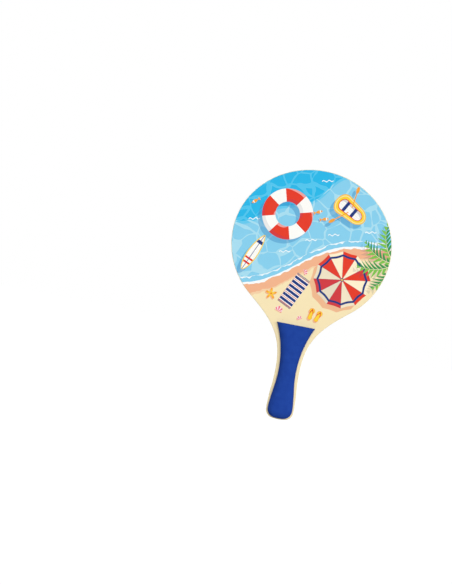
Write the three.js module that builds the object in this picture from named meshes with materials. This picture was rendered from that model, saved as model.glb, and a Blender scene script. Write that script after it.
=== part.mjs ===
// A wooden beach racket: a blade of five glued plies, a printed film on its front face,
// and a foam grip pad stuck to each side of the handle.
// Millimetres. Z runs up the racket towards the head, X across it and Y through its thickness.
// The printed face looks towards -Y. The origin lies inside the blade, at the waist of the grip.
import * as THREE from "three";

// Outline of the blade. Heights are taken from the butt end of the handle.
const racketLength = 380;
const headHalfWidth = 121;
const headWidestHeight = 268;
const headLowerDepth = 118; // half-axis of the head's ellipse below its widest height
const shoulderAngle = THREE.MathUtils.degToRad(50.5); // below the widest height, where the neck begins
const shoulderReach = 50; // pull of the neck's curve at the shoulder
const neckReach = 51.5; // pull of the neck's curve at the waist
const waistHalfWidth = 18.1;
const waistHeight = 73.5;
const flankReach = 32; // pull of the handle's flank at the waist
const buttReach = 38; // pull of the handle's flank at the butt
const buttHalfWidth = 20.8;
const buttCornerRadius = 12.5;
const buttEndRadius = 60;

// Plies, from the middle outwards.
const coreThickness = 1.5;
const crossbandThickness = 1.45;
const faceThickness = 0.7;
const glueLine = 0.05;
const edgeEase = 0.5; // sanded round the rim of each face veneer
const mostEasedShare = 0.9; // of a face veneer's thickness

// Printed film, which stops where the sanded rim begins.
const filmThickness = 0.15;
const filmMargin = 0.1;

// Grip pads. They follow the handle's waist and butt, inside its edge.
const padThickness = 9;
const padTopHeight = 144;
const padFlankRadius = 163;
const padWaistMargin = 4.9;
const padButtMargin = 2.1;
const padEndMargin = 1.3;
const padCornerRadius = 13.5;
const padFlankReach = 20;
const padButtReach = 16;
const padWallHeight = 0.6; // upright, below the rounded edge
const padLandHalfWidth = 1.2; // flat top that the rounded edge leaves at the waist
const padTopEdgeWidth = 3; // of the rounded edge at the straight top end, seen from the front
const mostRoundedShare = 0.9; // of a pad's corner radius, which the rounded edge can take up

// Double-sided adhesive sheet under each pad.
const adhesiveThickness = 0.2;
const adhesiveMargin = 1.5;

// Steps along each stretch of half an outline, and round an edge.
const endSteps = 3;
const cornerSteps = 8;
const flankSteps = 8;
const neckSteps = 16;
const shoulderSteps = 14;
const crownSteps = 24;
const padSideSteps = 14;
const easeSteps = 3;
const padEdgeSteps = 6;

const decimals = 6; // kept of each X, so that a point on the middle line has an X of exactly 0
const quarterTurn = Math.PI / 2;

const wood = new THREE.MeshStandardMaterial({ color: 0xf4e6b9, roughness: 0.6, metalness: 0 });
const innerWood = new THREE.MeshStandardMaterial({ color: 0xe9d8a6, roughness: 0.7, metalness: 0 });
const print = new THREE.MeshStandardMaterial({ color: 0x8bd1f0, roughness: 0.35, metalness: 0 });
const adhesive = new THREE.MeshStandardMaterial({ color: 0xf1eee2, roughness: 0.5, metalness: 0 });
const foam = new THREE.MeshStandardMaterial({ color: 0x22449a, roughness: 0.8, metalness: 0 });

// A circular or elliptical arc about (x, z), run from one angle to the other.
function arc(x, z, halfAcross, halfUp, from, to) {
  return new THREE.EllipseCurve(x, z, halfAcross, halfUp, from, to, to < from);
}

// The curve from one point to another that leaves and arrives along the given pulls.
function bend(start, startPull, end, endPull) {
  return new THREE.CubicBezierCurve(start, start.clone().add(startPull), end.clone().add(endPull), end);
}

// Points along curves that follow one another, given as pairs of a curve and its steps.
function pointsAlong(runs) {
  return runs.flatMap(([curve, steps], index) => curve.getPoints(steps).slice(index ? 1 : 0));
}

// A handle's end from its middle to its flank: a shallow arc, then a corner arc tangent to both.
function buttRuns({ halfWidth, cornerRadius, endRadius, endHeight }, inset) {
  const cornerX = halfWidth - cornerRadius;
  const endAngle = Math.asin(cornerX / (endRadius - cornerRadius)) - quarterTurn;
  const endCentre = endHeight + endRadius;
  const cornerHeight = endCentre + (endRadius - cornerRadius) * Math.sin(endAngle);
  const endArc = arc(0, endCentre, endRadius - inset, endRadius - inset, -quarterTurn, endAngle);
  const corner = arc(cornerX, cornerHeight, cornerRadius - inset, cornerRadius - inset, endAngle, 0);
  const runs = [
    [endArc, endSteps],
    [corner, cornerSteps],
  ];
  return { runs, cornerHeight };
}

// Right half of the blade's outline, from the butt end up to the crown, moved inwards by an inset.
function bladeHalf(inset) {
  const butt = buttRuns(
    {
      halfWidth: buttHalfWidth,
      cornerRadius: buttCornerRadius,
      endRadius: buttEndRadius,
      endHeight: 0,
    },
    inset,
  );
  const flankStart = new THREE.Vector2(buttHalfWidth - inset, butt.cornerHeight);
  const waist = new THREE.Vector2(waistHalfWidth - inset, waistHeight);
  const flank = bend(flankStart, new THREE.Vector2(0, buttReach), waist, new THREE.Vector2(0, -flankReach));
  const across = headHalfWidth - inset;
  const down = headLowerDepth - inset;
  const up = racketLength - headWidestHeight - inset;
  const shoulder = arc(0, headWidestHeight, across, down, -shoulderAngle, 0);
  const intoNeck = new THREE.Vector2(-across * Math.sin(shoulderAngle), -down * Math.cos(shoulderAngle));
  const shoulderPull = intoNeck.setLength(shoulderReach);
  const neck = bend(waist, new THREE.Vector2(0, neckReach), shoulder.getPoint(0), shoulderPull);
  const crown = arc(0, headWidestHeight, across, up, 0, quarterTurn);
  return pointsAlong([
    ...butt.runs,
    [flank, flankSteps],
    [neck, neckSteps],
    [shoulder, shoulderSteps],
    [crown, crownSteps],
  ]);
}

// Right half of a grip pad's outline, from its butt end up to the corner of its straight top edge.
function padHalf(inset, topInset) {
  const butt = buttRuns(
    {
      halfWidth: buttHalfWidth - padButtMargin,
      cornerRadius: padCornerRadius,
      endRadius: buttEndRadius - padEndMargin,
      endHeight: padEndMargin,
    },
    inset,
  );
  const flankStart = new THREE.Vector2(buttHalfWidth - padButtMargin - inset, butt.cornerHeight);
  const waist = new THREE.Vector2(waistHalfWidth - padWaistMargin - inset, waistHeight);
  const flank = bend(
    flankStart,
    new THREE.Vector2(0, padButtReach),
    waist,
    new THREE.Vector2(0, -padFlankReach),
  );
  const radius = padFlankRadius + inset;
  const topAngle = Math.PI - Math.asin((padTopHeight - topInset - waistHeight) / radius);
  const side = arc(waist.x + radius, waistHeight, radius, radius, Math.PI, topAngle);
  return pointsAlong([...butt.runs, [flank, flankSteps], [side, padSideSteps]]);
}

// A half outline with its mirror image: the right side going up, then the left side going down.
// A point on the middle line is kept once. Heights become Z from the origin at the waist.
function closedLoop(half) {
  const right = half.map(({ x, y }) => new THREE.Vector2(Number(x.toFixed(decimals)), y - waistHeight));
  const offMiddle = right.filter(({ x }) => x > 0).reverse();
  return [...right, ...offMiddle.map(({ x, y }) => new THREE.Vector2(-x, y))];
}

// A flat sheet whose bonded face is at Y 0 and which grows towards -Y.
function sheet(half, thickness) {
  const shape = new THREE.Shape(closedLoop(half));
  const geometry = new THREE.ExtrudeGeometry(shape, { depth: thickness, bevelEnabled: false });
  return geometry.rotateX(quarterTurn);
}

// Triangles that fill a mirrored loop with strips across it, turning the same way as the loop.
function stripsAcross(count, rightCount) {
  const leftOf = (index) => (count - index) % count;
  const triangles = [];
  for (let index = 0; index < rightCount - 1; index += 1) {
    const above = index + 1;
    if (leftOf(above) !== above) triangles.push([index, above, leftOf(above)]);
    if (index > 0) triangles.push([index, leftOf(above), leftOf(index)]);
  }
  return triangles;
}

// A closed body through layers, each a half outline at a height above the bonded face at Y 0.
// It grows towards -Y, and all of its half outlines have the same number of points.
function layeredBody(layers) {
  const loops = layers.map(({ half }) => closedLoop(half));
  const count = loops[0].length;
  const positions = loops.flatMap((loop, level) =>
    loop.flatMap((point) => [point.x, -layers[level].height, point.y]),
  );
  const face = stripsAcross(count, layers[0].half.length);
  const last = (layers.length - 1) * count;
  const indices = face.flatMap(([a, b, c]) => [a, c, b, last + a, last + b, last + c]);
  for (let start = 0; start < last; start += count) {
    for (let index = 0; index < count; index += 1) {
      const next = (index + 1) % count;
      const inner = [start + index, start + next];
      const outer = [start + count + index, start + count + next];
      indices.push(outer[0], inner[0], outer[1], outer[1], inner[0], inner[1]);
    }
  }
  const geometry = new THREE.BufferGeometry();
  geometry.setAttribute("position", new THREE.Float32BufferAttribute(positions, 3));
  geometry.setIndex(indices);
  geometry.computeVertexNormals();
  return geometry;
}

// Shares of a quarter round, from its foot to its top: how far in, and how far up.
function quarterRound(steps) {
  return Array.from({ length: steps }, (_, index) => {
    const angle = ((index + 1) / steps) * quarterTurn;
    return { inShare: 1 - Math.cos(angle), upShare: Math.sin(angle) };
  });
}

// A face veneer: square to its glue, with its outer rim eased by sanding.
function faceVeneer() {
  const ease = Math.min(edgeEase, faceThickness * mostEasedShare);
  const foot = faceThickness - ease;
  const rim = quarterRound(easeSteps).map(({ inShare, upShare }) => ({
    half: bladeHalf(ease * inShare),
    height: foot + ease * upShare,
  }));
  return layeredBody([{ half: bladeHalf(0), height: 0 }, { half: bladeHalf(0), height: foot }, ...rim]);
}

// A grip pad: a low upright wall, and a broad rounded edge that leaves a narrow flat land at the waist.
function gripPad() {
  const toLand = waistHalfWidth - padWaistMargin - padLandHalfWidth;
  const edgeWidth = Math.min(toLand, padCornerRadius * mostRoundedShare);
  const edgeHeight = padThickness - padWallHeight;
  const edge = quarterRound(padEdgeSteps).map(({ inShare, upShare }) => ({
    half: padHalf(edgeWidth * inShare, padTopEdgeWidth * inShare),
    height: padWallHeight + edgeHeight * upShare,
  }));
  const foot = padHalf(0, 0);
  return layeredBody([{ half: foot, height: 0 }, { half: foot, height: padWallHeight }, ...edge]);
}

function named(name, geometry, material) {
  const mesh = new THREE.Mesh(geometry, material);
  mesh.name = name;
  return mesh;
}

// The pieces on one side of the core, laid outwards one after another over a line of glue.
function layUp(pieces) {
  const side = new THREE.Group();
  let depth = coreThickness / 2;
  for (const { name, geometry, thickness, material } of pieces) {
    const piece = named(name, geometry, material);
    depth += glueLine;
    piece.position.y = -depth;
    depth += thickness;
    side.add(piece);
  }
  return side;
}

function plies(side) {
  return [
    {
      name: `${side}_crossband`,
      geometry: sheet(bladeHalf(0), crossbandThickness),
      thickness: crossbandThickness,
      material: innerWood,
    },
    {
      name: `${side}_face_veneer`,
      geometry: faceVeneer(),
      thickness: faceThickness,
      material: wood,
    },
  ];
}

function printedFilm() {
  return {
    name: "printed_film",
    geometry: sheet(bladeHalf(edgeEase + filmMargin), filmThickness),
    thickness: filmThickness,
    material: print,
  };
}

function grip(side) {
  return [
    {
      name: `${side}_grip_adhesive`,
      geometry: sheet(padHalf(adhesiveMargin, adhesiveMargin), adhesiveThickness),
      thickness: adhesiveThickness,
      material: adhesive,
    },
    {
      name: `${side}_grip_pad`,
      geometry: gripPad(),
      thickness: padThickness,
      material: foam,
    },
  ];
}

function corePly() {
  const core = named("core_ply", sheet(bladeHalf(0), coreThickness), innerWood);
  core.position.y = coreThickness / 2;
  return core;
}

const racket = new THREE.Group();
const front = layUp([...plies("front"), printedFilm(), ...grip("front")]);
const rear = layUp([...plies("rear"), ...grip("rear")]);
rear.rotation.z = Math.PI;
racket.add(corePly(), front, rear);

export default racket;
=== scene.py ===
"""The looks of a wooden beach racket: a plywood blade with a printed front face and two foam grip pads.

Outlines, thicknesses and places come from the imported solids. Lengths are in metres, but what repeats
in a material, and the picture on the film, are in millimetres.
"""

import math

import bmesh
import bpy
from mathutils import Matrix, Vector


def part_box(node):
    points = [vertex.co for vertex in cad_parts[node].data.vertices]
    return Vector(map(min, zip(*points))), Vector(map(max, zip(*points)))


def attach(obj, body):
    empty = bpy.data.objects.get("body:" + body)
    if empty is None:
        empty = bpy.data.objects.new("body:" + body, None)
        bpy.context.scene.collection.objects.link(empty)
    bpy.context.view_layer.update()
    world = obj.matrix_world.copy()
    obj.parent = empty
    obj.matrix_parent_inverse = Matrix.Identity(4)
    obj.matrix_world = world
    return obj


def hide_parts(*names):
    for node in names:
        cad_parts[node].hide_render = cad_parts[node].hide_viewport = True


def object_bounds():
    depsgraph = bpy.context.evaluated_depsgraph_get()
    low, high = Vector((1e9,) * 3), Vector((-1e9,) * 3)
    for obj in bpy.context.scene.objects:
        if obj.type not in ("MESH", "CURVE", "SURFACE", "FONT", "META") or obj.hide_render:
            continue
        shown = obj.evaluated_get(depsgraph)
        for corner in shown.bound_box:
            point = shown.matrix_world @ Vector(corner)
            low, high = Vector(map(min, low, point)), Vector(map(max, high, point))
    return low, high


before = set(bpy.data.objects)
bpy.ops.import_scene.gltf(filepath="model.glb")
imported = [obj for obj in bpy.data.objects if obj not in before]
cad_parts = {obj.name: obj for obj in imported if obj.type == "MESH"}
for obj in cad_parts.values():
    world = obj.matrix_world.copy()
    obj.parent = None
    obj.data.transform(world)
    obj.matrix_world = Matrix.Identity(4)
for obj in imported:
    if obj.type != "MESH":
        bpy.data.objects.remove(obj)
cad_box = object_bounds()

# Units and rounding
MM_PER_METRE = 1000.0
DIGITS = 7  # of a metre, to which points of the solids are compared

# Camera, placed so that the crown and the butt fall on these pixels
IMAGE_SIZE = Vector((452, 584))
CROWN_PIXEL = Vector((325.7, 171.2))
BUTT_PIXEL = Vector((278.0, 419.2))
CAMERA_DISTANCE = 3.0
SENSOR_MM = 36.0

# Light: levels are shares of the light at which a colour renders as it is written
WORLD_LEVEL = 0.27
LAMP_SPREAD = math.radians(40)
LAMPS = (  # on the front, each with a twin half a turn round: name, direction and level
    ("high", Vector((0.0, -0.86, 0.50)), 0.36),
    ("side", Vector((0.60, -0.76, 0.25)), 0.33),
)
FLOOR_DROP = 0.42  # below the racket, which a hand holds up
FLOOR_SIZE = 60.0
FLOOR_GLOW = 0.64  # seen directly, on top of the light on it
FLOOR_MOTTLE = 50
FLOOR_ROUGHNESS = 1.0
FLOOR_SPECULAR = 0.0

# Mesh: how finely a solid's outline, and the levels of a pad, are divided
SHARP_ANGLE = math.radians(40)
OUTLINE_STEPS = 3
PAD_LEVEL_STEPS = 3

# Colours, as sRGB from 0 to 255
WOOD = (244, 231, 186)
WOOD_FIGURE = (234, 213, 160)
WOOD_PORE = (210, 179, 124)
END_GRAIN = (212, 183, 132)
END_PORE = (168, 132, 82)
INNER_WOOD = (234, 211, 162)
INNER_FIGURE = (218, 187, 132)
FOAM = (30, 66, 154)
FOAM_DARK = (25, 55, 136)
FOAM_PALE = (38, 76, 167)
ADHESIVE = (240, 236, 222)
ADHESIVE_DARK = (222, 214, 190)
SHALLOWS = (133, 206, 236)
SHALLOWS_PALE = (172, 223, 240)
SEA = (25, 181, 230)
SEA_PALE = (76, 196, 236)
SURF = (250, 253, 252)
WATER_SHADE = (60, 142, 196)
WET_SAND = (242, 179, 139)
SAND = (247, 229, 183)
SAND_SHADE = (236, 170, 128)
SPECKLE = (222, 182, 128)
RED = (227, 52, 25)
NAVY = (8, 47, 120)
WHITE = (252, 251, 246)
CREAM = (255, 240, 205)
YELLOW = (252, 211, 52)
ORANGE = (246, 160, 44)
GREEN = (122, 192, 74)
GREEN_DARK = (52, 146, 72)
PINK = (240, 104, 134)
FLOOR_GREY = (176, 176, 176)
FLOOR_PALE = (178, 178, 178)

# The sRGB curve: a straight stretch for the darkest shades, then a power
SRGB_MOST = 255
SRGB_STRAIGHT_UP_TO = 0.04045
SRGB_STRAIGHT_SLOPE = 12.92
SRGB_OFFSET = 0.055
SRGB_POWER = 2.4

# Sockets of the node that mixes two colours, by their index
MIX_SHARE, MIX_BELOW, MIX_ABOVE = 0, 6, 7
MIX_RESULT = 2

# Noise: how many finer layers it has
NO_DETAIL = 0.0
SMOOTH_DETAIL = 1.0
PLAIN_DETAIL = 2.0
FINE_DETAIL = 3.0

# Axes of the racket along which a veneer's grain can run
ACROSS_RACKET = 0
ALONG_RACKET = 2

# Wood: how long what repeats is across and along the grain, and how strongly it shows
FIGURE_SIZE = (18, 220)
FIGURE_SWIRL = 0.6
FIGURE_BANDS = 46  # radians of banding over the whole range of the figure's noise
FIGURE_SHARE = 0.22
FIBRE_SIZE = (0.45, 45)
FIBRE_RANGE = (0.40, 0.72)
FIBRE_SHARE = 0.24
FIBRE_DEPTH = 0.00004
PORE_SIZE = (0.3, 6)
PORE_RANGE = (0.64, 0.74)
PORE_SHARE = 0.28
END_RANGE = (0.35, 0.95)  # of the normal's part along the grain
END_SHARE = 0.85
END_PORE_SIZE = 0.22
END_PORE_RANGE = (0.50, 0.66)
END_PORE_SHARE = 0.45
WOOD_SPECULAR = 0.35
FACE_ROUGHNESS = 0.55
INNER_ROUGHNESS = 0.7

# Foam
CELL_SIZE = 0.55
CELL_SHARE = 0.6
GRAIN_SIZE = 0.9
GRAIN_RANGE = (0.45, 0.75)
CLOUD_SIZE = 11
CLOUD_RANGE = (0.30, 0.70)
FOAM_MIX = 0.5
FOAM_DEPTH = 0.00012
FOAM_ROUGHNESS = 0.86
FOAM_SPECULAR = 0.06

# Adhesive sheet
SHEET_FIBRE_SIZE = (1.4, 1.4, 0.4)
SHEET_FIBRE_RANGE = (0.35, 0.70)
SHEET_DEPTH = 0.00002
SHEET_ROUGHNESS = 0.5
SHEET_SPECULAR = 0.5

# Lacquer over the print: a fine orange peel, and the wood's fibres showing through
PEEL_SIZE = 1.3
TELEGRAPH_SIZE = (2.2, 60)
TELEGRAPH_SHARE = 0.7
LACQUER_DEPTH = 0.00002
LACQUER_PATCH_SIZE = 24
LACQUER_ROUGHNESS = 0.36
LACQUER_ROUGHNESS_SPAN = 0.10
LACQUER_SPECULAR = 0.16
INK_PATCH_SIZE = 9
INK_PATCH_SHARE = 0.012


def linear(colour):
    """An sRGB colour as the linear one that shaders take."""
    channels = []
    for value in colour:
        channel = value / SRGB_MOST
        if channel <= SRGB_STRAIGHT_UP_TO:
            channels.append(channel / SRGB_STRAIGHT_SLOPE)
        else:
            channels.append(((channel + SRGB_OFFSET) / (1 + SRGB_OFFSET)) ** SRGB_POWER)
    return (*channels, 1.0)


class Field:
    """A number that varies over a surface. Arithmetic on fields adds nodes to the material."""

    def __init__(self, graph, socket):
        self.graph = graph
        self.socket = socket

    def math(self, operation, *others, clamp=False):
        node = self.graph.node("ShaderNodeMath", operation=operation, use_clamp=clamp)
        for socket, value in zip(node.inputs, (self, *others)):
            self.graph.feed(socket, value)
        return Field(self.graph, node.outputs[0])

    def __add__(self, other):
        return self.math("ADD", other)

    def __sub__(self, other):
        return self.math("SUBTRACT", other)

    def __rsub__(self, number):
        return self.math("MULTIPLY_ADD", -1.0, number)

    def __mul__(self, other):
        return self.math("MULTIPLY", other)

    def __truediv__(self, other):
        return self.math("DIVIDE", other)

    def __pow__(self, power):
        return self.math("POWER", power)

    def __neg__(self):
        return self.math("MULTIPLY", -1.0)

    def __abs__(self):
        return self.math("ABSOLUTE")

    def sine(self):
        return self.math("SINE")

    def cosine(self):
        return self.math("COSINE")

    def root(self):
        return self.math("SQRT")

    def floor(self):
        return self.math("FLOOR")

    def fraction(self):
        return self.math("FRACT")

    def clamped(self):
        return self.math("ADD", 0.0, clamp=True)

    def within(self, other):
        """Inside both outlines."""
        return self.math("MAXIMUM", other)

    def joined(self, other):
        """Inside either outline."""
        return self.math("MINIMUM", other)

    def between(self, low, high):
        """0 below low, 1 above high, and smooth in between."""
        node = self.graph.node("ShaderNodeMapRange", interpolation_type="SMOOTHSTEP")
        for name, value in (("Value", self), ("From Min", low), ("From Max", high)):
            self.graph.feed(node.inputs[name], value)
        return Field(self.graph, node.outputs["Result"])

    def near_repeat(self, pitch, phase=0.0):
        """How far a length is from the nearest of a row of lines that are a pitch apart."""
        return abs((self * (1 / pitch) + phase).fraction() - 0.5) * pitch


class Place:
    """Where a point of the surface lies in some axes. Moved and turned axes make motifs easy to draw."""

    def __init__(self, graph, socket):
        self.graph = graph
        self.socket = socket
        self.parts = None

    def mapped(self, kind, **inputs):
        node = self.graph.node("ShaderNodeMapping", vector_type=kind)
        self.graph.feed(node.inputs["Vector"], self)
        for name, value in inputs.items():
            node.inputs[name].default_value = value
        return Place(self.graph, node.outputs[0])

    def at(self, centre, turn=0.0):
        """The same point in axes that start at a centre and are turned about it, in degrees."""
        return self.mapped("TEXTURE", Location=(*centre, 0), Rotation=(0, 0, math.radians(turn)))

    def per(self, *sizes):
        """The same point with each axis counted in units of a size."""
        return self.mapped("POINT", Scale=[1 / size for size in sizes])

    def in_cubes(self, size):
        """The same point with all axes counted in units of one size."""
        return self.per(size, size, size)

    def in_squares(self, size):
        """The same point of a flat picture, counted in units of one size."""
        return self.per(size, size, 1)

    def folded(self):
        """The same point with the half below the x axis laid on the half above it."""
        node = self.graph.node("ShaderNodeCombineXYZ")
        self.graph.feed(node.inputs[0], self.x)
        self.graph.feed(node.inputs[1], abs(self.y))
        return Place(self.graph, node.outputs[0])

    def part(self, index):
        if self.parts is None:
            node = self.graph.node("ShaderNodeSeparateXYZ")
            self.graph.feed(node.inputs[0], self)
            self.parts = [Field(self.graph, socket) for socket in node.outputs]
        return self.parts[index]

    @property
    def x(self):
        return self.part(0)

    @property
    def y(self):
        return self.part(1)

    def distance(self):
        node = self.graph.node("ShaderNodeVectorMath", operation="LENGTH")
        self.graph.feed(node.inputs[0], self)
        return Field(self.graph, node.outputs["Value"])

    def angle(self):
        return self.y.math("ARCTAN2", self.x)

    def noise(self, detail=PLAIN_DETAIL, distortion=0.0):
        node = self.graph.node("ShaderNodeTexNoise")
        self.graph.feed(node.inputs["Vector"], self)
        node.inputs["Scale"].default_value = 1.0
        node.inputs["Detail"].default_value = detail
        node.inputs["Distortion"].default_value = distortion
        return Field(self.graph, node.outputs[0])

    def warped(self, size, reach):
        """The same point pushed about by up to half a reach, in swirls of some size."""
        noise = self.graph.node("ShaderNodeTexNoise")
        self.graph.feed(noise.inputs["Vector"], self)
        noise.inputs["Scale"].default_value = 1 / size
        noise.inputs["Detail"].default_value = NO_DETAIL
        push = self.graph.node("ShaderNodeVectorMath", operation="MULTIPLY_ADD")
        self.graph.feed(push.inputs[0], noise.outputs["Color"])
        push.inputs[1].default_value = (reach, reach, 0)
        self.graph.feed(push.inputs[2], self)
        return Place(self.graph, push.outputs[0])

    def cells(self, feature):
        node = self.graph.node("ShaderNodeTexVoronoi", feature=feature)
        self.graph.feed(node.inputs["Vector"], self)
        node.inputs["Scale"].default_value = 1.0
        return node


class Graph:
    """A material with one glossy shader, and short calls that add nodes to it."""

    def __init__(self, name, roughness, specular):
        self.material = bpy.data.materials.new(name)
        self.material.use_nodes = True
        self.tree = self.material.node_tree
        self.tree.nodes.clear()
        self.shader = self.node("ShaderNodeBsdfPrincipled")
        self.shader.inputs["Roughness"].default_value = roughness
        self.shader.inputs["Specular IOR Level"].default_value = specular
        output = self.node("ShaderNodeOutputMaterial")
        self.tree.links.new(self.shader.outputs[0], output.inputs["Surface"])

    def node(self, kind, **settings):
        made = self.tree.nodes.new(kind)
        for name, value in settings.items():
            setattr(made, name, value)
        return made

    def feed(self, socket, value):
        if isinstance(value, (Field, Place)):
            self.tree.links.new(value.socket, socket)
        elif isinstance(value, bpy.types.NodeSocket):
            self.tree.links.new(value, socket)
        else:
            socket.default_value = value

    def place(self):
        """The point of the surface in the racket's own axes."""
        return Place(self, self.node("ShaderNodeTexCoord").outputs["Object"])

    def place_mm(self):
        return self.place().mapped("POINT", Scale=[MM_PER_METRE] * 3)

    def normal(self):
        return Place(self, self.node("ShaderNodeTexCoord").outputs["Normal"])

    def mix(self, share, below, above):
        """One colour over another, by a field from 0 to 1. A colour is sRGB or a socket."""
        node = self.node("ShaderNodeMix", data_type="RGBA")
        for index, value in ((MIX_SHARE, share), (MIX_BELOW, below), (MIX_ABOVE, above)):
            self.feed(node.inputs[index], linear(value) if isinstance(value, tuple) else value)
        return node.outputs[MIX_RESULT]

    def finish(self, colour, height=None, depth=0.0, roughness=None):
        """Joins a colour, and a height field of some depth in metres, to the shader."""
        self.feed(self.shader.inputs["Base Color"], colour)
        if roughness is not None:
            self.feed(self.shader.inputs["Roughness"], roughness)
        if height is not None:
            bump = self.node("ShaderNodeBump")
            bump.inputs["Strength"].default_value = 1.0
            bump.inputs["Distance"].default_value = depth
            self.feed(bump.inputs["Height"], height)
            self.feed(self.shader.inputs["Normal"], bump.outputs[0])
        return self.material


def grained(place, grain_axis, size):
    """Axes on which what repeats is of one size across the grain and of another along it."""
    across, along = size
    sizes = [across] * 3
    sizes[grain_axis] = along
    return place.per(*sizes)


def wood_material(name, grain_axis, pale, figure, roughness):
    """Veneer with fine fibres along its grain, a faint broad figure, and darker end grain."""
    graph = Graph(name, roughness, WOOD_SPECULAR)
    place = graph.place_mm()
    broad = grained(place, grain_axis, FIGURE_SIZE).noise(detail=FINE_DETAIL, distortion=FIGURE_SWIRL)
    bands = (broad * FIGURE_BANDS).sine() * 0.5 + 0.5
    fibres = grained(place, grain_axis, FIBRE_SIZE).noise(detail=FINE_DETAIL)
    pores = grained(place, grain_axis, PORE_SIZE).noise(detail=SMOOTH_DETAIL)
    end = abs(graph.normal().part(grain_axis)).between(*END_RANGE)
    end_pores = place.in_cubes(END_PORE_SIZE).noise(detail=SMOOTH_DETAIL)
    colour = graph.mix(bands * FIGURE_SHARE, pale, figure)
    colour = graph.mix(fibres.between(*FIBRE_RANGE) * FIBRE_SHARE, colour, figure)
    colour = graph.mix(pores.between(*PORE_RANGE) * PORE_SHARE, colour, WOOD_PORE)
    colour = graph.mix(end * END_SHARE, colour, END_GRAIN)
    colour = graph.mix(end_pores.between(*END_PORE_RANGE) * end * END_PORE_SHARE, colour, END_PORE)
    return graph.finish(colour, fibres, FIBRE_DEPTH)


def foam_material():
    """Closed-cell foam: a matt skin of fine cells, a little uneven in colour."""
    graph = Graph("grip_foam", FOAM_ROUGHNESS, FOAM_SPECULAR)
    place = graph.place_mm()
    cells = place.in_cubes(CELL_SIZE).cells("F1")
    pits = Field(graph, cells.outputs["Distance"])
    cloud = place.in_cubes(CLOUD_SIZE).noise(detail=FINE_DETAIL)
    grain = place.in_cubes(GRAIN_SIZE).noise()
    colour = graph.mix(cloud.between(*CLOUD_RANGE) * FOAM_MIX, FOAM, FOAM_PALE)
    colour = graph.mix(grain.between(*GRAIN_RANGE) * FOAM_MIX, colour, FOAM_DARK)
    return graph.finish(colour, pits * CELL_SHARE + grain, FOAM_DEPTH)


def adhesive_material():
    """The edge of a double-sided sheet: off-white film with fibres in it."""
    graph = Graph("adhesive", SHEET_ROUGHNESS, SHEET_SPECULAR)
    fibres = graph.place_mm().per(*SHEET_FIBRE_SIZE).noise(detail=FINE_DETAIL)
    colour = graph.mix(fibres.between(*SHEET_FIBRE_RANGE), ADHESIVE, ADHESIVE_DARK)
    return graph.finish(colour, fibres, SHEET_DEPTH)


def between_points(start, start_pull, end, end_pull, length, share):
    """A point of the cubic curve that leaves start and reaches end along pulls per unit of length."""
    square, cube = share * share, share * share * share
    return (
        start * (2 * cube - 3 * square + 1)
        + start_pull * (length * (cube - 2 * square + share))
        + end * (3 * square - 2 * cube)
        + end_pull * (length * (cube - square))
    )


def smooth_run(points, steps, before=None, after=None):
    """A smooth curve through points, as points. Before and after are the neighbours beyond its ends."""
    before = before or points[0] * 2 - points[1]
    after = after or points[-1] * 2 - points[-2]
    run = [before, *points, after]
    lengths = [(b - a).length for a, b in zip(run, run[1:])]
    slopes = [(b - a) / length for a, b, length in zip(run, run[1:], lengths)]
    pulls = [
        (slopes[i] * lengths[i + 1] + slopes[i + 1] * lengths[i]) / (lengths[i] + lengths[i + 1])
        for i in range(len(points))
    ]
    ends = list(zip(points, pulls))
    curve = []
    for start, end, length in zip(ends, ends[1:], lengths[1:]):
        curve.extend(between_points(*start, *end, length, step / steps) for step in range(steps))
    return [*curve, points[-1]]


def half_outlines(node):
    """The right half of a solid's outline, going up, at each of its levels of Y, the innermost first."""
    levels = {}
    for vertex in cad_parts[node].data.vertices:
        x, y, z = (round(value, DIGITS) for value in vertex.co)
        if x >= 0:
            levels.setdefault(y, set()).add((x, y, z))
    outwards = sorted(levels, key=abs)
    return [[Vector(point) for point in sorted(levels[y], key=lambda point: point[2])] for y in outwards]


def mirrored(point):
    return Vector((-point.x, point.y, point.z))


def fine_half(points, steps):
    """A half outline with more points, on a smooth curve that crosses the middle line squarely."""
    top_on_middle = points[-1].x == 0
    after = mirrored(points[-2]) if top_on_middle else None
    return smooth_run(points, steps, before=mirrored(points[1]), after=after)


def fine_levels(halves, steps):
    """More levels between those of a rounded solid, on smooth curves from its foot to its top."""
    columns = [smooth_run(list(column), steps) for column in zip(*halves)]
    return [list(level) for level in zip(*columns)]


def mirrored_ring(half, vertices):
    """Adds a half outline and its mirror image to the vertices. Gives the indices of both sides."""
    start = len(vertices)
    right = list(range(start, start + len(half)))
    vertices.extend(half)
    left = []
    for index, point in zip(right, half):
        if point.x > 0:
            left.append(len(vertices))
            vertices.append(mirrored(point))
        else:
            left.append(index)
    return right, left


def wall_faces(ring, next_ring):
    """The faces between two rings that follow one another."""
    faces = []
    for side, next_side in zip(ring, next_ring):
        faces.extend(zip(side, side[1:], next_side[1:], next_side))
    top, next_top = ([side[-1] for side in sides] for sides in (ring, next_ring))
    if top[0] != top[1]:
        faces.append((*top, *reversed(next_top)))
    return faces


def end_faces(ring):
    """Strips across a ring, from its right side to its left."""
    right, left = ring
    return list(zip(right, right[1:], left[1:], left))


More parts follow.
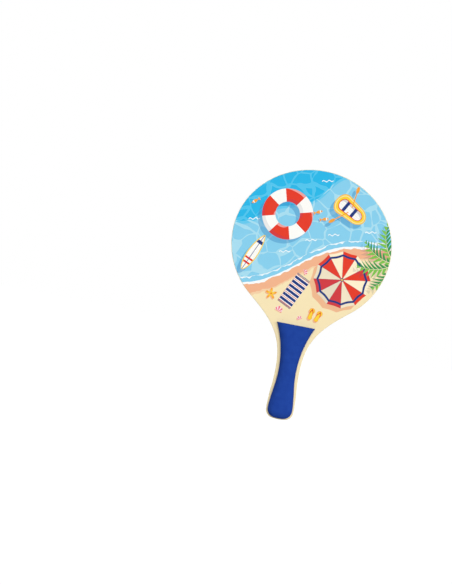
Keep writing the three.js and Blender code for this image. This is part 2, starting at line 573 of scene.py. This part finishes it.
def body_mesh(name, halves):
    """A closed mesh through mirrored half outlines, one for each level."""
    vertices = []
    rings = [mirrored_ring(half, vertices) for half in halves]
    faces = []
    for ring, next_ring in zip(rings, rings[1:]):
        faces.extend(wall_faces(ring, next_ring))
    faces.extend(end_faces(rings[0]))
    faces.extend(end_faces(rings[-1]))
    mesh = bpy.data.meshes.new(name)
    mesh.from_pydata(vertices, [], [tuple(dict.fromkeys(face)) for face in faces])
    tidy = bmesh.new()
    tidy.from_mesh(mesh)
    bmesh.ops.recalc_face_normals(tidy, faces=tidy.faces)
    tidy.to_mesh(mesh)
    tidy.free()
    mesh.shade_smooth()
    mesh.set_sharp_from_angle(angle=SHARP_ANGLE)
    return mesh


def fine_piece(node, material, level_steps=1):
    """A piece that replaces a solid with the same form on smooth curves."""
    halves = half_outlines(node)
    if level_steps > 1:
        halves = fine_levels(halves, level_steps)
    mesh = body_mesh(f"{node}_fine", [fine_half(half, OUTLINE_STEPS) for half in halves])
    mesh.materials.append(material)
    piece = bpy.data.objects.new(mesh.name, mesh)
    bpy.context.scene.collection.objects.link(piece)
    weighted = piece.modifiers.new("flat_faces_stay_flat", "WEIGHTED_NORMAL")
    weighted.keep_sharp = True
    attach(piece, "root")
    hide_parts(node)
    return piece


def paint_node(node, material):
    """Gives a solid that stays in view its material."""
    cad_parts[node].data.materials.clear()
    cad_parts[node].data.materials.append(material)


def make_plies():
    face = wood_material("face_veneer", ALONG_RACKET, WOOD, WOOD_FIGURE, FACE_ROUGHNESS)
    core = wood_material("core_ply", ALONG_RACKET, INNER_WOOD, INNER_FIGURE, INNER_ROUGHNESS)
    crossband = wood_material("crossband", ACROSS_RACKET, INNER_WOOD, INNER_FIGURE, INNER_ROUGHNESS)
    fine_piece("core_ply", core)
    for side in ("front", "rear"):
        fine_piece(f"{side}_crossband", crossband)
        fine_piece(f"{side}_face_veneer", face)


def make_grips():
    foam = foam_material()
    adhesive = adhesive_material()
    for side in ("front", "rear"):
        pad = fine_piece(f"{side}_grip_pad", foam, PAD_LEVEL_STEPS)
        paint_node(f"{side}_grip_adhesive", adhesive)


# Printed picture: a beach seen from above, measured from the middle of the head
DRAWN_HEAD_HALF_WIDTH = 121
PRINT_SOFTNESS = 0.25
LIGHT_ANGLE = math.radians(48)
SHADOW_SHIFT = (-5, -7)
SHADOW_SHARE = 0.55
SAND_SHADOW_SHARE = 0.8
SHADE_SHARE = 0.16
SHINE_SHARE = 0.35

# Sand
SPECKLE_SPACING = 5.2
SPECKLE_RADIUS = 0.6
SPECKLE_NONE_SHARE = 0.55  # of the spacings, which stay bare
SPECKLE_SHARE = 0.7

# Shore: a slope with a sway to it, and a ragged edge
SHORE_HEIGHT = -30
SHORE_SLOPE = 0.45
SHORE_SWAY = 11
SHORE_WAVE = 32  # for each radian
SHORE_PHASE = 0.5
RAGGED_SIZE = 11
RAGGED_REACH = 7
WET_SAND_WIDTH = 13
SOAKED_WIDTH = 16
SOAKED_SHARE = 0.45
SURF_WIDTH = 3.2
SURF_SPAN = 5
BREAKER_AT = 10
BREAKER_REACH = 9
BREAKER_HALF_WIDTH = 0.7
BREAKER_SPAN = 4
BREAKER_SHARE = 0.9

# Sea, with a net of bright lines in it
DEEP_AT = 96
DEEP_SWAY = 8
DEEP_WAVE = (22, 33)
DEEP_EDGE = 4
DEEP_EDGE_SHARE = 0.7
NET_CELL = 25
NET_SWIRL = 26
NET_REACH = 16
NET_CLEAR = 9  # of the shore
NET_LINE_SPAN = 4.2
NET_LINE_LEAST = -1
NET_PATCH = 22
NET_SHARE = 0.85

# Small waves and fish
RIPPLES_AT = ((-2, 6), (84, 34), (6, 98), (-92, 22), (-38, -18), (30, 20))
RIPPLE_TURN = 14
RIPPLE_LENGTH = 17
RIPPLE_WAVE = 1.33
RIPPLE_HEIGHT = 1.1
RIPPLE_HALF_WIDTH = 0.65
FISH_AT = ((2, 50), (13, 41), (-96, 48))
FISH_TURN = (24, 18, -140)
FISH_LIFT = 0.3
FISH_LENGTH = 12
FISH_WIDTH = 5.3
FISH_TAIL_AT = -5
FISH_TAIL_LENGTH = 3.4
FISH_TAIL_SPREAD = 0.9
FISH_BAND_AT = 1.9
FISH_BAND_HALF_WIDTH = 0.8

# Swim ring
RING_AT = (-44, 38)
RING_TURN = 12
RING_RADIUS = 28.5  # of the middle of its tube
RING_TUBE = 20
RING_STRIPES = 4
RING_STRIPE_TRIM = 1.4
RING_SHADE_FROM = 4.4  # from the middle of the tube
RING_SHINE_FROM = 6

# Dinghy, along its own x from stern to bow
DINGHY_AT = (48, 61)
DINGHY_TURN = -30
DINGHY_LENGTH = 54
DINGHY_WIDTH = 29
DINGHY_BOW_PINCH = 0.22  # how much narrower the bow is drawn, and wider the stern
DINGHY_TUBE = 6.6
DINGHY_TRIM = 0.55
DINGHY_SHINE_IN = 2.2
DINGHY_SHINE_HALF_WIDTH = 0.65
DINGHY_SLAT = 3.2
DINGHY_SLAT_HALF_WIDTH = 0.3
WELL_LIFT = 0.5  # of the full shadow, which the tube casts on the floor inside it
WELL_SHADE_SHARE = 0.32
BENCHES_AT = (-9, 6)
BENCH_HALF_WIDTH = 2.4
OAR_ROOT = (-2, 7)
OAR_TURN = 112
OAR_SHAFT = (12, 15, 0.8)  # middle, half length and half width
OAR_BLADE = (25, 5.5, 2.5)

# Surfboard, along its own x from tail to nose
BOARD_AT = (-84, -28)
BOARD_TURN = 66
BOARD_LENGTH = 62
BOARD_WIDTH = 17
BOARD_TAIL_FULLNESS = 1.14
BOARD_NOSE_FULLNESS = 0.86
BOARD_TRIM = 1.5
BOARD_BANDS = ((-15, 5, RED), (-15, 2, WHITE), (18, 2.5, NAVY))  # place, half width and colour
BOARD_STRINGER = 0.45

# Parasol
PARASOL_AT = (55, -44)
PARASOL_TURN = 8
PARASOL_RADIUS = 43
PARASOL_PANELS = 12
PARASOL_SCALLOP = 2.2  # drawn in between two ribs
PARASOL_BAND_IN = 6
PARASOL_BAND = 3.2
PARASOL_RIB = 0.22
PARASOL_RIB_SHARE = 0.5
PARASOL_CAP = 2.6
PARASOL_TIP = 1.4
PARASOL_SHADE_SHARE = 0.2
PARASOL_SHADE_FROM = -0.2  # of how far a panel faces away from the light

# Towel
TOWEL_AT = (-13, -74)
TOWEL_TURN = 64
TOWEL_LENGTH = 46
TOWEL_WIDTH = 23
TOWEL_STRIPE = 7.6
TOWEL_STRIPE_HALF_WIDTH = 2
TOWEL_PIPING = 0.45
TOWEL_FRINGE = 3
TOWEL_THREAD = 1.75
TOWEL_THREAD_HALF_WIDTH = 0.5
TOWEL_FOLD_AT = -8
TOWEL_FOLD = 0.6

# Small things on the sand, and how high they stand as shares of the full shadow
TOWEL_LIFT = 0.3
SANDALS_AT = ((19, -103), (30, -105))
SANDALS_TURN = (80, 68)
SANDAL_LIFT = 0.3
SANDAL_HEEL = (-5.7, 3.4)  # place and radius
SANDAL_TOES = (4.6, 4.3)
SANDAL_WAIST = (11.4, 5.9)  # length and width
SANDAL_TRIM = 0.8
STRAP_SPREAD = 0.42
STRAP_ROOT = 7.1
STRAP_HALF_WIDTH = 0.7
STRAP_REACH = (2, 5.4)  # middle and half length
STAR_AT = (-46, -84)
STAR_TURN = 20
STAR_RADIUS = 9
STAR_ARMS = 5
STAR_LIFT = 0.25
STAR_WAIST = 0.62  # of its radius, half way between the tips and the hollows
STAR_REACH = 0.36
STAR_STEEPNESS = 0.7
STAR_SPOT = 1.1
SHELLS_AT = ((-30, -106), (3, -113), (-2, -43))
SHELLS_TURN = (70, 120, 20)
SHELLS_RADIUS = (5.5, 3.6, 4.0)
SHELL_LIFT = 0.15
SHELL_RIDGES = 6
SHELL_RIDGE = 0.09  # shares of its radius
SHELL_BODY = 0.95
SHELL_BACK = 0.35
SHELL_HINGE = 0.6
SHELL_RAYS = 9
SHELL_RAY_SHARE = 0.75

# Palm that reaches in from the rim
PALM_AT = (129, -6)
PALM_FRONDS = 9
PALM_LENGTH = 60
PALM_UNEVEN = 0.12
PALM_UNEVEN_PHASE = 2.4
PALM_WIDTH = 30
PALM_CURL = 0.5  # radians from its hub to a tip
PALM_FULLNESS = 0.7
PALM_LEAFLET = 6.4  # from one to the next along the rib
PALM_LEAFLET_SLANT = 0.9
PALM_LEAFLET_SHARE = 0.47
PALM_RIB = 0.5
PALM_SHADOW_SHARE = 0.2
PALM_TIP_GAP = 3


class Picture:
    """A flat picture that is painted in layers on a place."""

    def __init__(self, graph, place, ground):
        self.graph = graph
        self.place = place
        self.colour = ground

    def at(self, centre, turn=0.0):
        return self.place.at(centre, turn)

    def cover(self, share, colour):
        self.colour = self.graph.mix(share, self.colour, colour)

    def paint(self, outline, colour, strength=1.0):
        """Paints the inside of an outline, where its field is below 0, over what is there."""
        share = inside(outline)
        self.cover(share if strength == 1.0 else share * strength, colour)

    def shadow(self, outline, centre, turn, colour, strength=SHADOW_SHARE, lift=1.0):
        """The shadow of an outline on what it lies over, moved by its lift."""
        self.paint(outline(self.at(lifted(centre, lift), turn)), colour, strength)


def lifted(centre, lift=1.0):
    """Where the shadow of a centre falls, by how high it stands as a share of the highest."""
    return [value + shift * lift for value, shift in zip(centre, SHADOW_SHIFT)]


def inside(outline):
    """1 where an outline's field is below 0, with a soft edge."""
    return outline.math("MULTIPLY_ADD", -1 / PRINT_SOFTNESS, 0.5, clamp=True)


def disc(place, radius):
    return place.distance() - radius


def slab(place, length, width):
    return (abs(place.x) - length / 2).within(abs(place.y) - width / 2)


def band(length, middle, half_width):
    """The stretch of a length that lies about a middle."""
    return abs(length - middle) - half_width


def toward_light(place):
    """How far a point lies towards the light from the centre of the axes."""
    return place.x * math.cos(LIGHT_ANGLE) + place.y * math.sin(LIGHT_ANGLE)


def paint_sand(picture):
    dots = picture.place.in_squares(SPECKLE_SPACING).cells("F1")
    pick = Place(picture.graph, dots.outputs["Color"]).x
    radius = (pick - SPECKLE_NONE_SHARE) * (SPECKLE_RADIUS / (1 - SPECKLE_NONE_SHARE))
    away = Field(picture.graph, dots.outputs["Distance"]) * SPECKLE_SPACING
    picture.paint(away - radius, SPECKLE, SPECKLE_SHARE)


def sea_depth(place):
    """How far a point lies out from the shore's line."""
    sway = (place.x * (1 / SHORE_WAVE) + SHORE_PHASE).sine() * SHORE_SWAY
    shore = place.x * SHORE_SLOPE + sway + SHORE_HEIGHT
    return (place.y - shore) * math.cos(math.atan(SHORE_SLOPE))


def paint_shore(picture, dry, wobble):
    """Soaked and wet sand, a line of surf, and shallows."""
    picture.paint(dry - SOAKED_WIDTH, WET_SAND, SOAKED_SHARE)
    picture.paint(dry - WET_SAND_WIDTH, WET_SAND)
    picture.paint(dry, SURF)
    picture.paint(dry + wobble * SURF_SPAN + SURF_WIDTH, SHALLOWS)


def paint_net(picture, dry, deep):
    """Bright lines in the water, where the sun comes through, in the colour of the water around them."""
    place = picture.place
    net = place.warped(NET_SWIRL, NET_REACH).in_squares(NET_CELL).cells("DISTANCE_TO_EDGE")
    line = Field(picture.graph, net.outputs["Distance"]) * NET_CELL
    patches = place.in_squares(NET_PATCH).noise(detail=SMOOTH_DETAIL)
    half_width = patches * NET_LINE_SPAN + NET_LINE_LEAST
    bright = (line - half_width).within(dry + NET_CLEAR)
    picture.paint(bright, SHALLOWS_PALE, NET_SHARE)
    picture.paint(bright.within(deep), SEA_PALE)


def paint_sea(picture):
    """Shore and shallows, deeper sea, a net of bright lines, and a breaking wave."""
    place = picture.place
    depth = sea_depth(place)
    wobble = place.in_squares(RAGGED_SIZE).noise(detail=SMOOTH_DETAIL) - 0.5
    dry = -(depth + wobble * RAGGED_REACH)
    paint_shore(picture, dry, wobble)
    along_deep = place.x * (1 / DEEP_WAVE[0]) + place.y * (1 / DEEP_WAVE[1])
    deep = DEEP_AT - along_deep.sine() * DEEP_SWAY - depth
    picture.paint(deep - DEEP_EDGE, SEA_PALE, DEEP_EDGE_SHARE)
    picture.paint(deep, SEA)
    paint_net(picture, dry, deep)
    crest = abs(depth + wobble * BREAKER_REACH - BREAKER_AT)
    picture.paint(crest - (wobble * BREAKER_SPAN + BREAKER_HALF_WIDTH), SURF, BREAKER_SHARE)


def paint_ripples(picture):
    for centre in RIPPLES_AT:
        place = picture.at(centre, RIPPLE_TURN)
        wave = (place.x * (1 / RIPPLE_WAVE)).sine() * RIPPLE_HEIGHT
        line = abs(wave - place.y) - RIPPLE_HALF_WIDTH
        picture.paint(line.within(band(place.x, 0, RIPPLE_LENGTH / 2)), SURF)


def fish_outline(place):
    """A body pointed at both ends, and a forked tail."""
    along = (place.x * (1 / FISH_LENGTH) + 0.5).clamped()
    body = abs(place.y) - (along * math.pi).sine() * (FISH_WIDTH / 2) + PRINT_SOFTNESS
    behind = place.x - FISH_TAIL_AT
    tail = (abs(place.y) + behind * FISH_TAIL_SPREAD).within(-behind - FISH_TAIL_LENGTH)
    return body.joined(tail)


def paint_fish(picture):
    for centre, turn in zip(FISH_AT, FISH_TURN):
        picture.shadow(fish_outline, centre, turn, WATER_SHADE, lift=FISH_LIFT)
        place = picture.at(centre, turn)
        fish = fish_outline(place)
        picture.paint(fish, ORANGE)
        picture.paint(fish.within(band(place.x, FISH_BAND_AT, FISH_BAND_HALF_WIDTH)), WHITE)


def ring_outline(place):
    return band(place.distance(), RING_RADIUS, RING_TUBE / 2)


def paint_swim_ring(picture):
    picture.shadow(ring_outline, RING_AT, 0, WATER_SHADE)
    place = picture.at(RING_AT, RING_TURN)
    tube = ring_outline(place)
    picture.paint(tube, RED)
    stripes = (place.angle() * RING_STRIPES).sine() * -(RING_RADIUS / RING_STRIPES)
    picture.paint(tube.within(stripes + RING_STRIPE_TRIM), WHITE)
    upright = picture.at(RING_AT)
    radius = upright.distance()
    facing = (radius - RING_RADIUS) * toward_light(upright) / radius
    picture.paint(tube.within(facing + RING_SHADE_FROM), NAVY, SHADE_SHARE)
    picture.paint(tube.within(RING_SHINE_FROM - facing), WHITE, SHINE_SHARE)


def dinghy_outline(place):
    """A boat from above, round at both ends and narrower towards the bow."""
    spine = (DINGHY_LENGTH - DINGHY_WIDTH) / 2
    across = (place.x * (2 * DINGHY_BOW_PINCH / DINGHY_LENGTH) + 1.0) * place.y
    past_spine = (abs(place.x) - spine).math("MAXIMUM", 0.0)
    return (past_spine**2 + across * across).root() - DINGHY_WIDTH / 2


def oars_outline(place):
    """An oar on each side, from inside the boat out and back."""
    oar = place.folded().at(OAR_ROOT, OAR_TURN)
    middle, half_length, half_width = OAR_SHAFT
    shaft = band(oar.x, middle, half_length).within(abs(oar.y) - half_width)
    middle, half_length, half_width = OAR_BLADE
    blade = disc(oar.at((middle, 0)).per(half_length / half_width, 1, 1), half_width)
    return shaft.joined(blade)


def paint_dinghy(picture):
    """An open inflatable boat with slats on its floor, two benches and two oars."""
    picture.shadow(dinghy_outline, DINGHY_AT, DINGHY_TURN, WATER_SHADE)
    picture.shadow(oars_outline, DINGHY_AT, DINGHY_TURN, WATER_SHADE)
    place = picture.at(DINGHY_AT, DINGHY_TURN)
    hull = dinghy_outline(place)
    well = hull + DINGHY_TUBE
    picture.paint(hull, YELLOW)
    picture.paint(band(hull, -DINGHY_SHINE_IN, DINGHY_SHINE_HALF_WIDTH), WHITE, SHINE_SHARE)
    picture.paint(well, WHITE)
    slats = place.y.near_repeat(DINGHY_SLAT) - DINGHY_SLAT_HALF_WIDTH
    picture.paint(well.within(slats), NAVY, SHADE_SHARE)
    for middle in BENCHES_AT:
        picture.paint(well.within(band(place.x, middle, BENCH_HALF_WIDTH)), NAVY)
    lit_well = dinghy_outline(picture.at(lifted(DINGHY_AT, WELL_LIFT), DINGHY_TURN)) + DINGHY_TUBE
    picture.paint(well.within(-lit_well), NAVY, WELL_SHADE_SHARE)
    picture.paint(band(well, 0, DINGHY_TRIM), RED)
    picture.paint(hull.within(-hull - DINGHY_TRIM), ORANGE)
    picture.paint(oars_outline(place), ORANGE)


def board_outline(place):
    """A surfboard, rounded at the tail and pointed at the nose."""
    along = (place.x * (1 / BOARD_LENGTH) + 0.5).clamped()
    fullness = along * (BOARD_NOSE_FULLNESS - BOARD_TAIL_FULLNESS) + BOARD_TAIL_FULLNESS
    half_width = (along * math.pi).sine().root() * fullness * (BOARD_WIDTH / 2)
    return abs(place.y) - half_width + PRINT_SOFTNESS


def paint_surfboard(picture):
    picture.shadow(board_outline, BOARD_AT, BOARD_TURN, WATER_SHADE)
    place = picture.at(BOARD_AT, BOARD_TURN)
    hull = board_outline(place)
    deck = hull + BOARD_TRIM
    picture.paint(hull, YELLOW)
    picture.paint(deck, WHITE)
    for middle, half_width, colour in BOARD_BANDS:
        picture.paint(deck.within(band(place.x, middle, half_width)), colour)
    picture.paint(deck.within(abs(place.y) - BOARD_STRINGER), NAVY)


def parasol_outline(place):
    """A canopy seen from above, drawn in between its ribs."""
    scallop = abs((place.angle() * (PARASOL_PANELS / 2)).sine()) * PARASOL_SCALLOP
    return place.distance() + scallop - PARASOL_RADIUS


def paint_parasol(picture):
    picture.shadow(parasol_outline, PARASOL_AT, PARASOL_TURN, SAND_SHADE, SAND_SHADOW_SHARE)
    place = picture.at(PARASOL_AT, PARASOL_TURN)
    canopy = parasol_outline(place)
    picture.paint(canopy, RED)
    panels = (place.angle() * (PARASOL_PANELS / 2)).sine() * place.distance() * (2 / PARASOL_PANELS)
    picture.paint(canopy.within(panels), CREAM)
    picture.paint(band(canopy, -PARASOL_BAND_IN, PARASOL_BAND / 2), NAVY)
    picture.paint(canopy.within(abs(panels) - PARASOL_RIB), NAVY, PARASOL_RIB_SHARE)
    panel = (place.angle() * (PARASOL_PANELS / math.tau)).floor() + 0.5
    from_light = panel * (math.tau / PARASOL_PANELS) + (math.radians(PARASOL_TURN) - LIGHT_ANGLE)
    away = (-from_light.cosine()).between(PARASOL_SHADE_FROM, 1.0)
    picture.cover(away * PARASOL_SHADE_SHARE * inside(canopy), NAVY)
    picture.paint(disc(place, PARASOL_CAP), NAVY)
    picture.paint(disc(place, PARASOL_TIP), YELLOW)


def towel_outline(place):
    return slab(place, TOWEL_LENGTH, TOWEL_WIDTH)


def paint_towel(picture):
    picture.shadow(towel_outline, TOWEL_AT, TOWEL_TURN, SAND_SHADE, SAND_SHADOW_SHARE, TOWEL_LIFT)
    place = picture.at(TOWEL_AT, TOWEL_TURN)
    cloth = towel_outline(place)
    threads = place.y.near_repeat(TOWEL_THREAD) - TOWEL_THREAD_HALF_WIDTH
    fringe = slab(place, TOWEL_LENGTH + 2 * TOWEL_FRINGE, TOWEL_WIDTH)
    picture.paint(fringe.within(threads), NAVY)
    picture.paint(cloth, WHITE)
    stripes = place.x.near_repeat(TOWEL_STRIPE) - TOWEL_STRIPE_HALF_WIDTH
    picture.paint(cloth.within(stripes), NAVY)
    piping = place.x.near_repeat(TOWEL_STRIPE, 0.5) - TOWEL_PIPING
    picture.paint(cloth.within(piping), RED)
    picture.paint(cloth.within(band(place.x, TOWEL_FOLD_AT, TOWEL_FOLD)), NAVY, SHADE_SHARE)


def sandal_outline(place):
    heel_at, heel_radius = SANDAL_HEEL
    toes_at, toes_radius = SANDAL_TOES
    heel = disc(place.at((heel_at, 0)), heel_radius)
    toes = disc(place.at((toes_at, 0)), toes_radius)
    return heel.joined(toes).joined(slab(place, *SANDAL_WAIST))


def paint_sandals(picture):
    for centre, turn in zip(SANDALS_AT, SANDALS_TURN):
        picture.shadow(sandal_outline, centre, turn, SAND_SHADE, SAND_SHADOW_SHARE, SANDAL_LIFT)
        place = picture.at(centre, turn)
        sole = sandal_outline(place)
        picture.paint(sole, ORANGE)
        picture.paint(sole + SANDAL_TRIM, YELLOW)
        straps = abs(abs(place.y) - (STRAP_ROOT - place.x) * STRAP_SPREAD) - STRAP_HALF_WIDTH
        picture.paint(sole.within(straps).within(band(place.x, *STRAP_REACH)), RED)


def starfish_outline(place):
    reach = (place.angle() * STAR_ARMS).cosine() * STAR_REACH + STAR_WAIST
    return (place.distance() - reach * STAR_RADIUS) * STAR_STEEPNESS


def paint_starfish(picture):
    picture.shadow(starfish_outline, STAR_AT, STAR_TURN, SAND_SHADE, SAND_SHADOW_SHARE, STAR_LIFT)
    place = picture.at(STAR_AT, STAR_TURN)
    picture.paint(starfish_outline(place), ORANGE)
    picture.paint(starfish_outline(place.in_squares(STAR_WAIST)), YELLOW)
    picture.paint(disc(place, STAR_SPOT), RED)


def unit_shell_outline(place):
    """A scallop shell of radius 1, with its hinge towards -x."""
    ridges = abs((place.angle() * SHELL_RIDGES).sine()) * SHELL_RIDGE + SHELL_BODY
    return (place.distance() - ridges).within(-place.x - SHELL_BACK)


def shell_outline_of(radius):
    """The outline of a shell of a radius, as a function of a place."""
    return lambda place: unit_shell_outline(place.in_squares(radius)) * radius


def paint_shells(picture):
    for centre, turn, radius in zip(SHELLS_AT, SHELLS_TURN, SHELLS_RADIUS):
        outline = shell_outline_of(radius)
        picture.shadow(outline, centre, turn, SAND_SHADE, SAND_SHADOW_SHARE, SHELL_LIFT)
        place = picture.at(centre, turn)
        shell = outline(place)
        picture.paint(shell, PINK)
        hinge = place.at((-radius * SHELL_HINGE, 0))
        rays = (hinge.angle() * SHELL_RAYS).sine() * hinge.distance() * (1 / SHELL_RAYS)
        picture.paint(shell.within(rays), WHITE, SHELL_RAY_SHARE)


def palm_fields(place):
    """The frond nearest to a point: its leaflets, its rib, and how far across it the point lies."""
    radius = place.distance()
    turned = place.angle() + radius * (PALM_CURL / PALM_LENGTH)
    turns = turned * (PALM_FRONDS / math.tau)
    off_rib = (turns.fraction() - 0.5) * (math.tau / PALM_FRONDS)
    across = off_rib.sine() * radius
    length = ((turns.floor() * PALM_UNEVEN_PHASE).sine() * PALM_UNEVEN + 1.0) * PALM_LENGTH
    root = radius - abs(across) * PALM_LEAFLET_SLANT
    along = (root / length).clamped()
    half_width = (along**PALM_FULLNESS * math.pi).sine() * (PALM_WIDTH / 2) + PRINT_SOFTNESS
    taper = 1.0 - abs(across) / half_width
    leaflet = root.near_repeat(PALM_LEAFLET) - taper * (PALM_LEAFLET * PALM_LEAFLET_SHARE)
    leaves = leaflet.within(root - length + PALM_TIP_GAP)
    rib = (abs(across) - (1.0 - along) * PALM_RIB).within(radius - length)
    return leaves, rib, across


def paint_palm(picture):
    shadow, _, _ = palm_fields(picture.at(lifted(PALM_AT)))
    picture.paint(shadow, NAVY, PALM_SHADOW_SHARE)
    leaves, rib, across = palm_fields(picture.at(PALM_AT))
    picture.paint(leaves, GREEN_DARK)
    picture.paint(leaves.within(-across), GREEN)
    picture.paint(rib, CREAM)


# What is painted, from the lowest layer to the highest
PAINT_ORDER = (
    paint_sand,
    paint_sea,
    paint_ripples,
    paint_fish,
    paint_swim_ring,
    paint_dinghy,
    paint_surfboard,
    paint_towel,
    paint_starfish,
    paint_shells,
    paint_sandals,
    paint_parasol,
    paint_palm,
)


def drawing_place(graph):
    """The point of the film in the axes of the flat drawing, which start at the middle of the head."""
    head = max(half_outlines("printed_film")[0], key=lambda point: point.x)
    scale = DRAWN_HEAD_HALF_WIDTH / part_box("front_face_veneer")[1].x
    return graph.place().mapped(
        "POINT",
        Location=(0, -head.z * scale, 0),
        Rotation=(-math.pi / 2, 0, 0),
        Scale=(scale, 0, scale),
    )


def film_material():
    """Printed film under a satin lacquer, with the wood's fibres just showing through."""
    graph = Graph("printed_film", LACQUER_ROUGHNESS, LACQUER_SPECULAR)
    picture = Picture(graph, drawing_place(graph), SAND)
    for paint in PAINT_ORDER:
        paint(picture)
    place = graph.place_mm()
    picture.cover(place.in_cubes(INK_PATCH_SIZE).noise() * INK_PATCH_SHARE, WHITE)
    fibres = grained(place, ALONG_RACKET, TELEGRAPH_SIZE).noise(detail=SMOOTH_DETAIL)
    peel = place.in_cubes(PEEL_SIZE).noise(detail=SMOOTH_DETAIL)
    patches = place.in_cubes(LACQUER_PATCH_SIZE).noise() - 0.5
    roughness = patches * LACQUER_ROUGHNESS_SPAN + LACQUER_ROUGHNESS
    return graph.finish(picture.colour, fibres * TELEGRAPH_SHARE + peel, LACQUER_DEPTH, roughness)


def make_film():
    fine_piece("printed_film", film_material())


def make_camera():
    """A camera square to the printed face, rolled so that the racket leans as in the photograph."""
    low, high = cad_box
    racket = Vector((CROWN_PIXEL.x - BUTT_PIXEL.x, BUTT_PIXEL.y - CROWN_PIXEL.y))
    metres_per_pixel = (high.z - low.z) / racket.length
    lean = math.atan2(racket.x, racket.y)
    right = Vector((math.cos(lean), 0, math.sin(lean)))
    up = Vector((-math.sin(lean), 0, math.cos(lean)))
    back = Vector((0, -1, 0))
    middle = Vector((0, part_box("printed_film")[0].y, (low.z + high.z) / 2))
    middle_pixel = (CROWN_PIXEL + BUTT_PIXEL) / 2
    off_centre = (middle_pixel - IMAGE_SIZE / 2) * metres_per_pixel
    aim = middle - right * off_centre.x + up * off_centre.y
    data = bpy.data.cameras.new("camera")
    data.sensor_width = SENSOR_MM
    data.lens = SENSOR_MM * CAMERA_DISTANCE / (max(IMAGE_SIZE) * metres_per_pixel)
    camera = bpy.data.objects.new("camera", data)
    turned = Matrix((right, up, back)).transposed()
    camera.matrix_world = Matrix.Translation(aim + back * CAMERA_DISTANCE) @ turned.to_4x4()
    bpy.context.scene.collection.objects.link(camera)
    bpy.context.scene.camera = camera


def make_lamp(name, direction, level):
    """A broad sun that adds its level of light to the flat of the blade."""
    data = bpy.data.lights.new(name, "SUN")
    data.energy = level * math.pi * direction.length / abs(direction.y)
    data.angle = LAMP_SPREAD
    lamp = bpy.data.objects.new(name, data)
    lamp.rotation_mode = "QUATERNION"
    lamp.rotation_quaternion = direction.to_track_quat("Z", "Y")
    bpy.context.scene.collection.objects.link(lamp)


def make_lamps():
    for name, direction, level in LAMPS:
        make_lamp(f"front_{name}", direction, level)
        make_lamp(f"rear_{name}", Vector((-direction.x, -direction.y, direction.z)), level)


def seen_directly(tree):
    """1 for what the eye sees, also in gloss and through glass, and 0 for what lights a surface."""
    path = tree.nodes.new("ShaderNodeLightPath")
    seen = path.outputs["Is Camera Ray"]
    for name in ("Is Glossy Ray", "Is Transmission Ray"):
        either = tree.nodes.new("ShaderNodeMath")
        either.operation = "MAXIMUM"
        tree.links.new(seen, either.inputs[0])
        tree.links.new(path.outputs[name], either.inputs[1])
        seen = either.outputs[0]
    return seen


def level_by_ray(tree, lit, seen, socket):
    """Sets a strength that is one level as light and another where it is seen directly."""
    level = tree.nodes.new("ShaderNodeMapRange")
    level.inputs["To Min"].default_value = lit
    level.inputs["To Max"].default_value = seen
    tree.links.new(seen_directly(tree), level.inputs["Value"])
    tree.links.new(level.outputs["Result"], socket)


def make_world():
    """Plain white all round: full white to the eye and in reflections, softer as light."""
    world = bpy.data.worlds.new("studio")
    world.use_nodes = True
    background = world.node_tree.nodes["Background"]
    background.inputs["Color"].default_value = (1, 1, 1, 1)
    level_by_ray(world.node_tree, WORLD_LEVEL, 1.0, background.inputs["Strength"])
    bpy.context.scene.world = world


def floor_material():
    """Pale grey that glows where it is seen directly, so that it looks white but for soft shadows."""
    graph = Graph("floor", FLOOR_ROUGHNESS, FLOOR_SPECULAR)
    mottle = graph.place_mm().in_cubes(FLOOR_MOTTLE).noise()
    colour = graph.mix(mottle, FLOOR_GREY, FLOOR_PALE)
    graph.shader.inputs["Emission Color"].default_value = (1, 1, 1, 1)
    level_by_ray(graph.tree, 0.0, FLOOR_GLOW, graph.shader.inputs["Emission Strength"])
    return graph.finish(colour)


def make_floor():
    mesh = bpy.data.meshes.new("floor")
    half = FLOOR_SIZE / 2
    height = cad_box[0].z - FLOOR_DROP
    corners = [(x * half, y * half, height) for x, y in ((-1, -1), (1, -1), (1, 1), (-1, 1))]
    mesh.from_pydata(corners, [], [range(len(corners))])
    mesh.materials.append(floor_material())
    floor = bpy.data.objects.new("floor", mesh)
    bpy.context.scene.collection.objects.link(floor)


bpy.context.scene.view_settings.view_transform = "Standard"
make_camera()
make_world()
make_lamps()
make_floor()
make_plies()
make_film()
make_grips()
